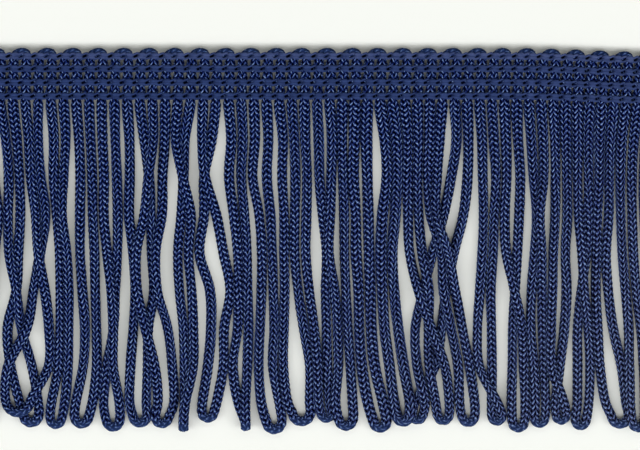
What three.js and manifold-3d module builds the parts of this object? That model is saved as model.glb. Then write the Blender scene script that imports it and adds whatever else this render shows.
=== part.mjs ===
// Loop fringe trim lying face up: one knitted cord, laid back and forth through four rows of chain stitch.
// Sizes are in millimetres. +X runs along the trim, +Y points from the loops to the heading, +Z is up.
// The origin is on the back of the second chain row, at mid length, where the trim is sewn down.

import * as THREE from "three";
import { mergeVertices } from "three/addons/utils/BufferGeometryUtils.js";
import Module from "manifold-3d";

const wasm = await Module();
wasm.setup();

// Driving sizes
const AIR = 0.3;
const MARGIN = 0.05;
const CORD = { width: 2.0, height: 1.8, trueWidth: 2.75 };
const LEGS = { first: -2, last: 53, pitch: 3.35, firstX: 0.1, tighterBy: 2.75, tightestLeg: 51 };
const CHAIN = { rows: 4, pitch: 3.6, width: 1.9, neck: 1.1, rise: 0.7, dip: 0.35 };
const FLOAT = { width: 1.2, thickness: 0.5, steps: 14 };
const STRIP = { thickness: 1.0, below: 8.3, above: 4.3 };
const HEADING_EDGE = -8.45;
const SCALLOP_CREST = 5.8;
const DROOP = { depth: 1.1, starts: 142, ends: 177, fadesOver: 80 };
const END_POST = 0.8;
const TABLE_MIDDLE = 83.9;

// How finely the cord is divided
const STEPS = { leg: 12, turn: 6, scallop: 5, sounding: 8 };
const SAME_POINT = 1e-4;
const TURN = { share: 0.42, tightest: 1.3, widest: 2.6, leadIn: 0.5 };
const LAST_LEVEL_ABOVE_TURN = 1.5;

// Drops below the heading's edge at which each leg's place along the trim is given
const DROPS = [10, 20, 30, 40, 50, 60, 70, 80];

// One row for each loop: where its left-hand and right-hand legs lie at those drops, where its turn lies,
// how far down the turn reaches, and which leg is on top where the two meet.
// A stacked loop is seen edge on, so its turn stands upright. Loops are laid from left to right,
// apart from the one marked first, which lies under its neighbours.
const LOOPS = [
  { a: [-6.4, -5.9, -5.5, -5.3, -5.6, -6.0, -6.2, -5.9],
    b: [-2.7, -1.7, -0.5, -1.3, -2.0, -2.4, -2.4, -1.8], turn: -4.0, drop: 86.4, top: "b" },
  { a: [1.6, 2.4, 2.2, 2.5, 4.5, 5.7, 8.5, 10.2],
    b: [4.5, 5.2, 5.45, 4.9, 4.4, 2.1, 2.9, 5.4], turn: 8.3, drop: 86.0, top: "a" },
  { a: [7.6, 8.2, 9.5, 10.3, 11.9, 13.0, 12.4, 8.2],
    b: [10.15, 10.8, 12.1, 10.7, 8.9, 7.2, 2.6, 2.0], turn: 4.8, drop: 83.3, top: "a" },
  { a: [14.3, 14.2, 15.1, 15.9, 16.0, 16.0, 15.5, 13.6],
    b: [17.4, 16.8, 16.5, 17.7, 18.2, 18.2, 18.0, 17.1], turn: 14.8, drop: 86.7, top: "b" },
  { a: [20.9, 21.3, 21.2, 21.2, 21.8, 22.5, 22.0, 20.0],
    b: [23.95, 24.4, 24.55, 25.0, 25.2, 25.5, 25.6, 24.4], turn: 21.6, drop: 86.3, top: "b" },
  { a: [27.1, 27.5, 27.4, 28.3, 29.5, 30.0, 29.95, 31.6],
    b: [30.5, 30.9, 31.15, 31.0, 30.4, 30.0, 28.3, 27.4], turn: 29.9, drop: 87.2, top: "a" },
  { a: [34.2, 34.3, 34.1, 35.2, 35.7, 35.25, 34.5, 34.3],
    b: [38.1, 39.4, 39.9, 40.1, 40.7, 39.2, 39.0, 38.7], turn: 37.0, drop: 86.1, top: "b" },
  { a: [40.5, 39.3, 38.2, 36.1, 36.3, 38.5, 40.9, 41.7],
    b: [43.5, 42.95, 42.75, 41.2, 41.6, 44.3, 45.5, 45.9], turn: 42.8, drop: 86.3, top: "b" },
  { a: [46.4, 48.3, 50.4, 49.55, 50.3, 51.05, 51.0, 48.9],
    b: [48.8, 48.5, 47.9, 47.2, 47.6, 48.45, 48.7, 48.7], turn: 48.5, drop: 87.5, top: "a", stacked: true },
  { a: [53.4, 54.2, 57.1, 59.0, 60.8, 59.2, 59.0, 57.1],
    b: [55.9, 53.9, 53.9, 52.65, 55.45, 55.75, 54.9, 53.4], turn: 54.9, drop: 84.9, top: "a" },
  { a: [61.1, 60.5, 61.75, 62.85, 63.0, 62.75, 61.75, 64.2],
    b: [64.1, 63.7, 64.5, 65.2, 65.4, 65.6, 65.3, 64.8], turn: 64.9, drop: 87.2, top: "b", stacked: true },
  { a: [67.3, 66.7, 68.4, 69.15, 69.05, 68.65, 68.3, 69.05],
    b: [70.85, 70.45, 71.4, 71.85, 72.15, 72.4, 72.05, 73.8], turn: 72.4, drop: 87.8, top: "b" },
  { a: [74.7, 74.5, 75.0, 75.0, 75.15, 74.9, 74.8, 76.1],
    b: [77.65, 78.0, 77.85, 77.75, 78.7, 80.25, 81.9, 81.85], turn: 79.6, drop: 85.7, top: "b" },
  { a: [80.6, 81.05, 80.9, 80.7, 81.6, 82.95, 83.8, 84.2],
    b: [84.15, 84.35, 85.1, 86.3, 86.0, 86.2, 86.4, 87.0], turn: 86.2, drop: 85.2, top: "b" },
  { a: [87.65, 87.45, 87.2, 86.8, 88.4, 89.1, 89.3, 88.6],
    b: [90.3, 90.5, 90.85, 90.9, 91.3, 91.8, 92.5, 93.1], turn: 91.3, drop: 86.9, top: "b" },
  { a: [93.55, 93.25, 93.9, 94.0, 94.65, 94.8, 95.5, 97.2],
    b: [96.75, 96.95, 97.2, 97.4, 97.75, 98.0, 98.9, 101.2], turn: 100.3, drop: 87.4, top: "b" },
  { a: [101.6, 102.2, 101.0, 100.5, 100.9, 101.5, 102.8, 104.1],
    b: [104.6, 104.8, 104.3, 103.5, 104.0, 105.1, 106.5, 108.2], turn: 106.4, drop: 85.6, top: "b" },
  { a: [107.6, 107.5, 107.7, 108.1, 110.4, 113.8, 117.4, 118.6],
    b: [110.4, 110.2, 110.5, 111.4, 113.1, 113.1, 113.3, 115.0], turn: 117.0, drop: 85.6, top: "a" },
  { a: [113.4, 113.0, 113.7, 116.5, 117.0, 119.0, 120.9, 121.3],
    b: [116.0, 115.3, 115.0, 118.2, 120.1, 122.0, 123.9, 125.3], turn: 123.6, drop: 86.0, top: "b" },
  { a: [120.5, 119.1, 117.1, 114.2, 111.8, 109.6, 110.1, 112.1],
    b: [123.6, 123.4, 122.3, 119.8, 117.8, 116.5, 114.8, 109.3],
    turn: 110.2, drop: 85.6, top: "a", first: true },
  { a: [127.2, 127.4, 127.6, 127.3, 126.7, 126.2, 127.0, 132.4],
    b: [130.3, 130.9, 130.4, 130.1, 129.5, 129.7, 129.8, 129.8], turn: 131.2, drop: 85.9, top: "a" },
  { a: [133.5, 133.7, 133.2, 133.6, 135.7, 137.7, 138.2, 138.6],
    b: [136.7, 137.3, 137.0, 136.5, 135.9, 135.3, 135.2, 135.0], turn: 136.8, drop: 87.5, top: "a" },
  { a: [140.2, 140.8, 141.6, 141.1, 140.3, 140.1, 140.9, 141.2],
    b: [143.3, 143.4, 142.8, 143.3, 143.0, 143.1, 143.5, 144.0], turn: 142.4, drop: 86.5, top: "b" },
  { a: [146.5, 146.6, 146.5, 146.0, 145.8, 145.6, 146.0, 149.2],
    b: [149.4, 149.6, 149.7, 149.2, 149.5, 149.2, 148.4, 146.6], turn: 148.1, drop: 85.7, top: "a" },
  { a: [152.4, 152.4, 152.7, 153.5, 154.1, 155.2, 155.7, 155.3],
    b: [155.3, 155.3, 155.2, 154.7, 153.4, 152.4, 152.4, 152.3], turn: 153.2, drop: 87.1, top: "a" },
  { a: [158.2, 158.1, 157.6, 157.4, 157.2, 157.7, 158.3, 159.9],
    b: [161.1, 160.8, 160.6, 159.9, 160.5, 161.8, 164.0, 165.2], turn: 163.6, drop: 86.4, top: "b" },
  { a: [164.0, 163.7, 163.8, 164.2, 165.1, 165.9, 166.0, 166.2],
    b: [167.2, 166.7, 166.8, 167.1, 167.9, 169.2, 169.9, 170.2], turn: 168.4, drop: 87.3, top: "b" },
  { a: [170.4, 169.9, 170.0, 170.6, 171.4, 172.4, 173.0, 173.0],
    b: [173.6, 173.2, 173.3, 173.8, 174.5, 175.4, 176.2, 176.3], turn: 174.7, drop: 86.2, top: "b" },
];

// Heights of the heading's layers
const CORD_BACK = FLOAT.thickness + AIR;
const CORD_FACE = CORD_BACK + CORD.height;
const CHAIN_BACK = CORD_FACE + AIR;
const LAY_OVER = CORD.height + AIR + MARGIN;
const CLEAR_WIDTH = CORD.width + AIR + MARGIN;

// Where a leg, or a place between two legs, stands in the heading
function rootX(leg) {
  const closing = LEGS.tighterBy * (Math.max(leg, 0) / LEGS.tightestLeg) ** 4;
  return LEGS.firstX + LEGS.pitch * leg - closing - TABLE_MIDDLE;
}

// The heading sinks a little towards its right-hand end, and the loops take up the difference
function droopAt(x, y) {
  const share = THREE.MathUtils.smoothstep(x + TABLE_MIDDLE, DROOP.starts, DROOP.ends);
  const drop = Math.max(0, HEADING_EDGE - y);
  return DROOP.depth * share * Math.max(0, 1 - drop / DROOP.fadesOver);
}

// The plan of one loop, from the root of its first leg round its turn to the root of its second
function loopPlan(row, index) {
  const firstLeg = LEGS.first + 2 * index;
  const lowest = row.drop - CORD.trueWidth / 2;
  const ends = [row.a.at(-1), row.b.at(-1)];
  const reach = Math.abs(ends[1] - ends[0]) * TURN.share;
  const radius = row.stacked ? TURN.tightest : THREE.MathUtils.clamp(reach, TURN.tightest, TURN.widest);
  const sideways = row.stacked ? 0 : radius * Math.sign(ends[1] - ends[0]);
  const turnTop = lowest - radius;
  const legPlan = (places, leg, turnSide) => {
    const knots = [new THREE.Vector3(rootX(leg), HEADING_EDGE + DROPS[0], 0)];
    knots.push(new THREE.Vector3(rootX(leg), HEADING_EDGE, 0));
    places.forEach((place, column) => {
      if (DROPS[column] < turnTop - LAST_LEVEL_ABOVE_TURN) {
        knots.push(new THREE.Vector3(place - TABLE_MIDDLE, HEADING_EDGE - DROPS[column], 0));
      }
    });
    knots.push(new THREE.Vector3(row.turn - TABLE_MIDDLE + turnSide, HEADING_EDGE - turnTop, 0));
    knots.push(new THREE.Vector3(row.turn - TABLE_MIDDLE + turnSide * TURN.leadIn, HEADING_EDGE - lowest, 0));
    const curve = new THREE.CatmullRomCurve3(knots);
    const spans = knots.length - 1;
    const points = [];
    for (let step = 0; step <= STEPS.leg; step += 1) {
      const along = 1 + ((spans - 2) * step) / STEPS.leg;
      points.push(curve.getPoint(along / spans));
    }
    return points;
  };
  const first = legPlan(row.a, firstLeg, -sideways);
  const second = legPlan(row.b, firstLeg + 1, sideways).reverse();
  const turn = [];
  for (let step = 1; step < STEPS.turn; step += 1) {
    const angle = (Math.PI * step) / STEPS.turn;
    const x = row.turn - TABLE_MIDDLE - sideways * Math.cos(angle);
    turn.push(new THREE.Vector3(x, HEADING_EDGE - turnTop - radius * Math.sin(angle), 0));
  }
  return { row, points: [...first, ...turn, ...second], legPoints: first.length };
}

// Distance in plan from a point to the stretch from a to b
function planDistance(point, a, b) {
  const along = new THREE.Vector2(b.x - a.x, b.y - a.y);
  const away = new THREE.Vector2(point.x - a.x, point.y - a.y);
  const share = THREE.MathUtils.clamp(away.dot(along) / along.lengthSq(), 0, 1);
  return away.sub(along.multiplyScalar(share)).length();
}

// Shortest distance in plan between the stretches from a to b and from c to d
function planGap(a, b, c, d) {
  const cross = (p, q, r) => (q.x - p.x) * (r.y - p.y) - (q.y - p.y) * (r.x - p.x);
  if (cross(a, b, c) * cross(a, b, d) < 0 && cross(c, d, a) * cross(c, d, b) < 0) {
    return 0;
  }
  const fromAB = Math.min(planDistance(a, c, d), planDistance(b, c, d));
  return Math.min(fromAB, planDistance(c, a, b), planDistance(d, a, b));
}

// The highest point of the stretch from c to d that lies under, or close beside, the stretch from a to b
function heightUnder(a, b, c, d) {
  const reach = CLEAR_WIDTH + c.distanceTo(d) / STEPS.sounding;
  let height = 0;
  for (let step = 0; step <= STEPS.sounding; step += 1) {
    const point = c.clone().lerp(d, step / STEPS.sounding);
    if (planDistance(point, a, b) < reach) {
      height = Math.max(height, point.z);
    }
  }
  return height;
}

// Raises the stretches from one point to another clear of the stretches that lie below them
function raiseOver(points, from, to, below) {
  const heights = points.map((point) => point.z);
  for (let i = from; i < to; i += 1) {
    for (const [c, d] of below) {
      if (planGap(points[i], points[i + 1], c, d) < CLEAR_WIDTH) {
        const height = heightUnder(points[i], points[i + 1], c, d) + LAY_OVER;
        heights[i] = Math.max(heights[i], height);
        heights[i + 1] = Math.max(heights[i + 1], height);
      }
    }
  }
  points.forEach((point, i) => {
    point.z = heights[i];
  });
}

const stretches = (points) => points.slice(1).map((point, i) => [points[i], point]);

// Lays the loops down in order, each resting on the floor and on the cord that already lies there
function layLoops() {
  const plans = LOOPS.map(loopPlan);
  const laid = [];
  const order = [...plans.filter((plan) => plan.row.first), ...plans.filter((plan) => !plan.row.first)];
  for (const { row, points, legPoints } of order) {
    const last = points.length - 1;
    points[0].z = CORD_BACK;
    points[last].z = CORD_BACK;
    raiseOver(points, 1, last - 1, laid);
    const legs = { a: points.slice(0, legPoints), b: points.slice(-legPoints) };
    const under = stretches(row.top === "a" ? legs.b : legs.a);
    const range = row.top === "a" ? [1, legPoints - 1] : [last - legPoints + 1, last - 1];
    raiseOver(points, range[0], range[1], under);
    if (row.stacked) {
      const ends = [points[legPoints - 1], points[points.length - legPoints]];
      const [low, high] = row.top === "a" ? ends.reverse() : ends;
      high.z = Math.max(high.z, low.z + 2 * TURN.tightest);
    }
    laid.push(...stretches(points));
  }
  return plans;
}

// The cord's path with a level section all along, apart from the turns that stand upright
class LaidCord extends THREE.Curve {
  constructor(points, ups) {
    super();
    this.points = points;
    this.ups = ups;
  }

  getPoint(share, target = new THREE.Vector3()) {
    return target.copy(this.points[Math.round(share * (this.points.length - 1))]);
  }

  getSpacedPoints() {
    return this.points;
  }

  computeFrenetFrames() {
    const last = this.points.length - 1;
    const tangents = this.points.map((point, i) => {
      const ahead = this.points[Math.min(i + 1, last)];
      return ahead.clone().sub(this.points[Math.max(i - 1, 0)]);
    });
    const normals = tangents.map((tangent, i) => this.ups[i].clone().cross(tangent).setZ(0).normalize());
    return { tangents, normals, binormals: this.ups };
  }
}

// The whole cord: loops below the heading joined by the scallops above it
function cordPath() {
  const points = [];
  const ups = [];
  let upright = 1;
  const push = (x, y, z, up = new THREE.Vector3(0, 0, 1)) => {
    points.push(new THREE.Vector3(x, y, z + CORD.height / 2));
    ups.push(up.multiplyScalar(upright));
  };
  const headingTop = SCALLOP_CREST - CORD.width / 2 - LEGS.pitch / 2;
  layLoops().forEach((plan, index) => {
    const leg = LEGS.first + 2 * index;
    push(rootX(leg), headingTop, CORD_BACK);
    const turnStart = plan.legPoints;
    const turnEnd = plan.points.length - plan.legPoints;
    plan.points.forEach((point, i) => {
      if (!plan.row.stacked || i < turnStart || i >= turnEnd) {
        push(point.x, point.y, point.z);
        return;
      }
      const before = plan.points[turnStart - 1];
      const after = plan.points[turnEnd];
      const angle = (Math.PI * (i - turnStart + 1)) / STEPS.turn;
      const middle = (before.z + after.z) / 2;
      const rise = (after.z - before.z) / 2;
      const up = new THREE.Vector3(0, Math.sign(rise) * Math.sin(angle), Math.cos(angle));
      push(point.x, point.y, middle - rise * Math.cos(angle), up);
      if (i === turnEnd - 1) {
        upright = -upright;
      }
    });
    push(rootX(leg + 1), headingTop, CORD_BACK);
    if (index < LOOPS.length - 1) {
      const radius = (rootX(leg + 2) - rootX(leg + 1)) / 2;
      for (let step = 1; step < STEPS.scallop; step += 1) {
        const angle = (Math.PI * step) / STEPS.scallop;
        const x = rootX(leg + 1) + radius * (1 - Math.cos(angle));
        push(x, headingTop + (LEGS.pitch / 2) * Math.sin(angle), CORD_BACK);
      }
    }
  });
  return new LaidCord(points, ups);
}

function solidOf(geometry) {
  geometry.deleteAttribute("normal");
  geometry.deleteAttribute("uv");
  const merged = mergeVertices(geometry, SAME_POINT);
  const mesh = new wasm.Mesh({
    numProp: 3,
    vertProperties: new Float32Array(merged.attributes.position.array),
    triVerts: new Uint32Array(merged.index.array),
  });
  return new wasm.Manifold(mesh);
}

// A solid's geometry with the heading's droop applied
function droopedGeometry(solid) {
  const { vertProperties, triVerts, numProp } = solid.getMesh();
  const positions = [];
  for (let i = 0; i < vertProperties.length; i += numProp) {
    const [x, y, z] = vertProperties.subarray(i, i + 3);
    positions.push(x, y - droopAt(x, y), z);
  }
  const geometry = new THREE.BufferGeometry();
  geometry.setAttribute("position", new THREE.Float32BufferAttribute(positions, 3));
  geometry.setIndex(Array.from(triVerts));
  geometry.computeVertexNormals();
  return geometry;
}

// The looped cord, fused in the heading to a narrow strip that stands for the cords packed side by side
function fringeGeometry() {
  const path = cordPath();
  const section = new THREE.Shape();
  section.moveTo(-CORD.width / 2, -CORD.height / 2);
  section.lineTo(CORD.width / 2, -CORD.height / 2);
  section.lineTo(CORD.width / 2, CORD.height / 2);
  section.lineTo(-CORD.width / 2, CORD.height / 2);
  const cord = new THREE.ExtrudeGeometry(section, { steps: path.points.length - 1, extrudePath: path });
  const left = rootX(LEGS.first);
  const right = rootX(LEGS.last);
  const strip = new THREE.BoxGeometry(right - left, STRIP.above + STRIP.below, STRIP.thickness);
  strip.translate((left + right) / 2, (STRIP.above - STRIP.below) / 2, CORD_BACK + CORD.height / 2);
  return droopedGeometry(solidOf(cord).add(solidOf(strip)));
}

// One row of chain stitch: a plait on the face, a float along the back and a post at each end of the row
function chainGeometry(rowY) {
  const stitches = LEGS.last - LEGS.first + 1;
  const plait = new THREE.BoxGeometry(2 * stitches, 2, 1, 2 * stitches, 1, 1);
  const place = plait.attributes.position;
  for (let i = 0; i < place.count; i += 1) {
    const halfStitch = Math.round(place.getX(i) + stitches);
    const full = halfStitch % 2 === 1;
    const width = full ? CHAIN.width : CHAIN.neck;
    const face = CHAIN_BACK + (full ? CHAIN.rise : CHAIN.dip);
    const x = rootX(LEGS.first - 0.5 + halfStitch / 2);
    place.setXYZ(i, x, rowY + (place.getY(i) * width) / 2, place.getZ(i) > 0 ? face : CHAIN_BACK);
  }
  const left = rootX(LEGS.first) - CORD.width / 2 - AIR;
  const right = rootX(LEGS.last) + CORD.width / 2 + AIR;
  const float = new THREE.BoxGeometry(right - left + END_POST, FLOAT.width, FLOAT.thickness, FLOAT.steps);
  float.translate((left + right) / 2, rowY, FLOAT.thickness / 2);
  let row = solidOf(plait).add(solidOf(float));
  for (const [end, way] of [[left, -1], [right, 1]]) {
    const post = new THREE.BoxGeometry(END_POST, FLOAT.width, CHAIN_BACK + CHAIN.dip);
    post.translate(end + (way * END_POST) / 2, rowY, (CHAIN_BACK + CHAIN.dip) / 2);
    row = row.add(solidOf(post));
  }
  return droopedGeometry(row);
}

const trim = new THREE.Group();
const cordYarn = new THREE.MeshStandardMaterial({ color: 0x16275a, roughness: 0.55, metalness: 0 });
const chainYarn = new THREE.MeshStandardMaterial({ color: 0x2c376c, roughness: 0.8, metalness: 0 });

const fringe = new THREE.Mesh(fringeGeometry(), cordYarn);
fringe.name = "loop_fringe";
trim.add(fringe);

for (let row = 0; row < CHAIN.rows; row += 1) {
  const chain = new THREE.Mesh(chainGeometry(CHAIN.pitch * (1 - row)), chainYarn);
  chain.name = `chain_row_${row + 1}`;
  trim.add(chain);
}

export default trim;
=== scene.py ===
"""A length of loop fringe trim: one knitted cord laid in loops and held by four rows of chain stitch.

The file is laid out as an add-on and run as a script. Lengths are in metres. +X runs along the trim,
+Y points from the loops to the heading, and +Z is up, out of the trim's face.
"""

from typing import NamedTuple

import bpy
import numpy as np
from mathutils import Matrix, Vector


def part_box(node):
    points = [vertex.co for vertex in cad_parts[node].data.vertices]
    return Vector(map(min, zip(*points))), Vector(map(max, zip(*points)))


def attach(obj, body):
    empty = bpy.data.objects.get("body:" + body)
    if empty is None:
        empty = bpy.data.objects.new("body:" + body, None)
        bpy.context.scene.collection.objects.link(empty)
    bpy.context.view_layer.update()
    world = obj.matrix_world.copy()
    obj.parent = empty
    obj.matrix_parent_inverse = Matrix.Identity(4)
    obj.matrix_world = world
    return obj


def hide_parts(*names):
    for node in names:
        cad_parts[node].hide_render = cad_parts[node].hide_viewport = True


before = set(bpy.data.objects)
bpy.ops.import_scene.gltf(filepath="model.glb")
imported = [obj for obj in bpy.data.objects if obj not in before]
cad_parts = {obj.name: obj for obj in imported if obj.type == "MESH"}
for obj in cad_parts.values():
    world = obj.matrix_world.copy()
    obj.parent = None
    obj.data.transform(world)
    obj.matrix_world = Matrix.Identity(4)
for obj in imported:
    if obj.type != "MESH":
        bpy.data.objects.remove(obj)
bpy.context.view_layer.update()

bl_info = {
    "name": "Loop Fringe Trim",
    "version": (1, 0, 0),
    "blender": (4, 5, 0),
    "location": "View3D > Sidebar > Trim",
    "description": "Knits the looped cord and the chain-stitched heading of a loop fringe trim",
    "category": "Object",
}

MM = 0.001
TINY = 1e-9
BODY = "root"

# Nodes of the frame, the width of a chain row's node, and the record's material slots
CORD_NODE = "loop_fringe"
ROW_NODES = ("chain_row_1", "chain_row_2", "chain_row_3", "chain_row_4")
CAD_CHAIN_WIDTH = 1.9 * MM
CORD_SLOT = "cord_yarn"
CHAIN_SLOT = "chain_yarn"

# The heading's levels: up from its second row of chain, and out from the floor
HEADING_EDGE = -8.45 * MM
HEADING_TOP = 3.1 * MM
SCALLOP_CREST = 5.8 * MM
CORD_BACK = 0.8 * MM
CHAIN_BACK = 2.9 * MM

# The cord's legs, counted along the trim. They stand closer together towards its right-hand end.
FIRST_LEG = -2
LAST_LEG = 53
LEG_PITCH = 3.35 * MM
FIRST_LEG_X = 0.1 * MM
TIGHTER_BY = 2.75 * MM
TIGHTEST_LEG = 51
CLOSING_POWER = 4

# The table of loops measures along the trim from the left. Its middle is the frame's origin.
TABLE_MIDDLE = 83.9 * MM

# How the heading sinks towards its right-hand end, and how it leans to the right
DROOP_DEPTH = 1.1 * MM
DROOP_STARTS = 133 * MM
DROOP_ENDS = 176 * MM
DROOP_FADES_OVER = 80 * MM
HEADING_LEAN = 0.045
LEAN_GROWTH = 0.02

# Drops below the heading's edge, in millimetres, at which each leg's place along the trim is given
DROPS = (10, 20, 30, 40, 50, 60, 70, 80)
LEFT = "left"
RIGHT = "right"


class Loop(NamedTuple):
    """Where one loop lies, in millimetres along the trim, and how"""

    left: tuple
    right: tuple
    turn: float
    drop: float
    top: str
    lay: str = "flat"
    width: float = 1.0


# Each loop's left-hand and right-hand legs at those drops, then its turn, how far down the turn reaches
# and which leg is on top where the two meet. A stacked loop is seen edge on, so its turn stands upright.
# Loops are laid from left to right, apart from the one marked first, which lies under its neighbours.
# A width is given where the cord lies flatter and wider than usual, as a share of its usual width.
LOOPS = (
    Loop((-6.4, -5.9, -5.5, -5.3, -5.6, -6.0, -6.2, -5.9),
         (-2.7, -1.7, -0.5, -1.3, -2.0, -2.4, -2.4, -1.8), -4.0, 86.4, RIGHT),
    Loop((1.6, 2.4, 2.2, 2.5, 4.5, 5.7, 8.5, 10.2),
         (4.5, 5.2, 5.45, 4.9, 4.4, 2.1, 2.9, 5.4), 8.3, 86.0, LEFT),
    Loop((7.6, 8.2, 9.5, 10.3, 11.9, 13.0, 12.9, 8.8),
         (10.15, 10.8, 12.1, 10.7, 8.9, 7.2, 2.3, 0.9), 4.9, 83.3, LEFT),
    Loop((14.3, 14.2, 15.1, 15.9, 16.0, 16.0, 15.5, 13.6),
         (17.4, 16.8, 16.5, 17.7, 18.2, 18.2, 18.0, 17.1), 14.8, 86.7, RIGHT),
    Loop((20.9, 21.3, 21.2, 21.2, 21.8, 22.5, 22.0, 20.0),
         (23.95, 24.4, 24.55, 25.0, 25.2, 25.5, 25.6, 24.4), 21.6, 86.3, RIGHT),
    Loop((27.1, 27.5, 27.4, 28.3, 29.5, 30.0, 29.95, 31.6),
         (30.5, 30.9, 31.15, 31.0, 30.4, 30.0, 28.3, 27.4), 29.9, 87.2, LEFT),
    Loop((34.2, 34.3, 34.1, 35.2, 35.7, 35.25, 34.5, 34.3),
         (38.1, 39.4, 39.9, 40.1, 40.7, 39.2, 39.0, 38.7), 37.0, 86.1, RIGHT),
    Loop((40.5, 39.3, 38.2, 36.1, 36.3, 38.5, 40.9, 41.7),
         (43.5, 42.95, 42.75, 41.2, 41.6, 44.3, 45.5, 45.9), 42.8, 86.3, RIGHT),
    Loop((46.4, 48.3, 50.4, 49.75, 50.6, 51.05, 51.0, 48.9),
         (48.8, 48.5, 47.9, 47.0, 47.4, 48.45, 48.7, 48.7), 48.5, 87.5, LEFT, "stacked"),
    Loop((53.4, 54.2, 57.1, 59.0, 60.8, 59.2, 59.0, 57.1),
         (55.9, 53.9, 53.9, 52.65, 55.45, 55.75, 54.9, 53.4), 54.9, 84.9, LEFT),
    Loop((61.1, 60.5, 61.75, 62.85, 63.0, 62.75, 61.5, 63.0),
         (64.1, 63.7, 64.5, 65.2, 65.4, 65.6, 65.3, 64.8), 64.9, 87.2, RIGHT, "stacked"),
    Loop((67.3, 66.7, 68.4, 69.15, 69.05, 68.65, 68.3, 69.05),
         (70.85, 70.45, 71.4, 71.85, 72.15, 72.4, 72.05, 73.8), 72.4, 87.8, RIGHT),
    Loop((74.7, 74.5, 75.0, 75.0, 75.15, 74.9, 74.8, 76.1),
         (77.65, 78.0, 77.85, 77.75, 78.7, 80.25, 81.9, 81.85), 79.6, 85.7, RIGHT),
    Loop((80.6, 81.05, 80.9, 80.7, 81.6, 82.95, 83.8, 84.2),
         (84.15, 84.35, 85.1, 86.3, 86.0, 86.2, 86.4, 87.0), 86.2, 85.2, RIGHT),
    Loop((87.65, 87.45, 87.2, 86.8, 88.4, 89.1, 89.3, 88.6),
         (90.3, 90.5, 90.85, 90.9, 91.3, 91.8, 92.5, 93.1), 91.3, 86.9, RIGHT),
    Loop((93.55, 93.25, 93.9, 94.0, 94.65, 94.8, 95.5, 97.2),
         (96.75, 96.95, 97.2, 97.4, 97.75, 98.0, 98.9, 101.2), 100.3, 87.4, RIGHT, width=1.1),
    Loop((101.6, 102.2, 101.0, 100.5, 100.9, 101.5, 102.8, 104.1),
         (104.6, 104.8, 104.3, 103.5, 104.0, 105.1, 106.5, 108.2), 106.4, 85.6, RIGHT, width=1.1),
    Loop((107.6, 107.5, 107.7, 108.1, 110.4, 113.8, 117.4, 118.6),
         (110.4, 110.2, 110.5, 111.4, 113.1, 113.1, 113.3, 115.0), 117.0, 85.6, LEFT),
    Loop((113.4, 113.0, 113.7, 116.5, 117.0, 119.0, 120.9, 121.3),
         (116.0, 115.3, 115.0, 118.2, 120.1, 122.0, 123.9, 125.3), 123.6, 86.0, RIGHT),
    Loop((120.5, 119.1, 117.1, 114.2, 111.8, 109.6, 110.1, 112.1),
         (123.6, 123.4, 122.3, 119.8, 117.8, 116.5, 114.8, 109.3), 110.2, 85.6, LEFT, "first"),
    Loop((127.2, 127.4, 127.6, 127.3, 126.7, 126.0, 126.5, 131.4),
         (130.3, 130.9, 130.4, 130.1, 129.5, 129.7, 129.8, 129.8), 131.2, 85.9, LEFT),
    Loop((133.5, 133.7, 133.2, 133.6, 135.7, 137.7, 138.2, 138.6),
         (136.7, 137.3, 137.0, 136.5, 135.9, 135.3, 135.2, 135.0), 136.8, 87.5, LEFT),
    Loop((140.2, 140.8, 141.6, 141.1, 140.3, 140.1, 140.9, 141.2),
         (143.3, 143.4, 142.3, 142.9, 143.0, 143.1, 143.5, 144.0), 142.4, 86.5, RIGHT),
    Loop((146.5, 146.6, 146.5, 146.0, 145.8, 145.4, 145.5, 148.9),
         (149.4, 149.6, 149.7, 149.2, 149.5, 148.9, 147.7, 146.6), 148.1, 85.7, LEFT),
    Loop((152.4, 152.4, 152.7, 153.5, 154.1, 155.2, 155.7, 155.3),
         (155.3, 155.3, 155.2, 154.7, 153.4, 152.4, 152.4, 152.3), 153.2, 87.1, LEFT),
    Loop((158.2, 158.1, 157.6, 157.4, 157.2, 157.7, 158.3, 159.9),
         (161.1, 160.8, 160.6, 159.9, 160.5, 161.8, 164.0, 165.2), 163.6, 86.4, RIGHT),
    Loop((164.0, 163.7, 163.8, 164.2, 165.1, 165.9, 166.0, 166.2),
         (167.2, 166.7, 166.8, 167.1, 167.9, 169.2, 169.9, 170.2), 168.4, 87.3, RIGHT),
    Loop((170.4, 169.9, 170.0, 170.6, 171.4, 172.4, 173.0, 173.0),
         (173.6, 173.2, 173.3, 173.8, 174.5, 175.4, 176.2, 176.3), 174.7, 86.2, RIGHT),
)

# The cord's line and its turns
PLAN_STEP = 0.5 * MM
PATH_STEP = 0.2 * MM
SPAN_STEPS = 40
TURN_STEPS = 24
TURN_SHARE = 0.42
TIGHTEST_TURN = 1.3 * MM
WIDEST_TURN = 3.4 * MM
LEAD_IN = 0.5
LAST_LEVEL_ABOVE_TURN = 1.5 * MM
TURN_SAG = 0.26 * MM
STACKED_SAG = 0.75 * MM
ROUNDING = 0.55 * MM
NEARLY_UPRIGHT = 0.05

# How cord lies on cord and settles. The break keeps the two legs of a stacked loop from settling as one.
CONTACT_WIDTH = 2.45 * MM
CONTACT_HEIGHT = 1.95 * MM
SLOPE = 0.4
SOFTNESS = 1.1 * MM
STACKED_BREAK = 1.0

# The scallops, and the cord's cut ends
SCALLOP_OVERRUN = 1.2
SCALLOP_LEAN = 1.4 * MM
SCALLOP_SETTLE = 0.2 * MM
SCALLOP_WIDTH = 0.82
CUT_END = 1.2 * MM

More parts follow.
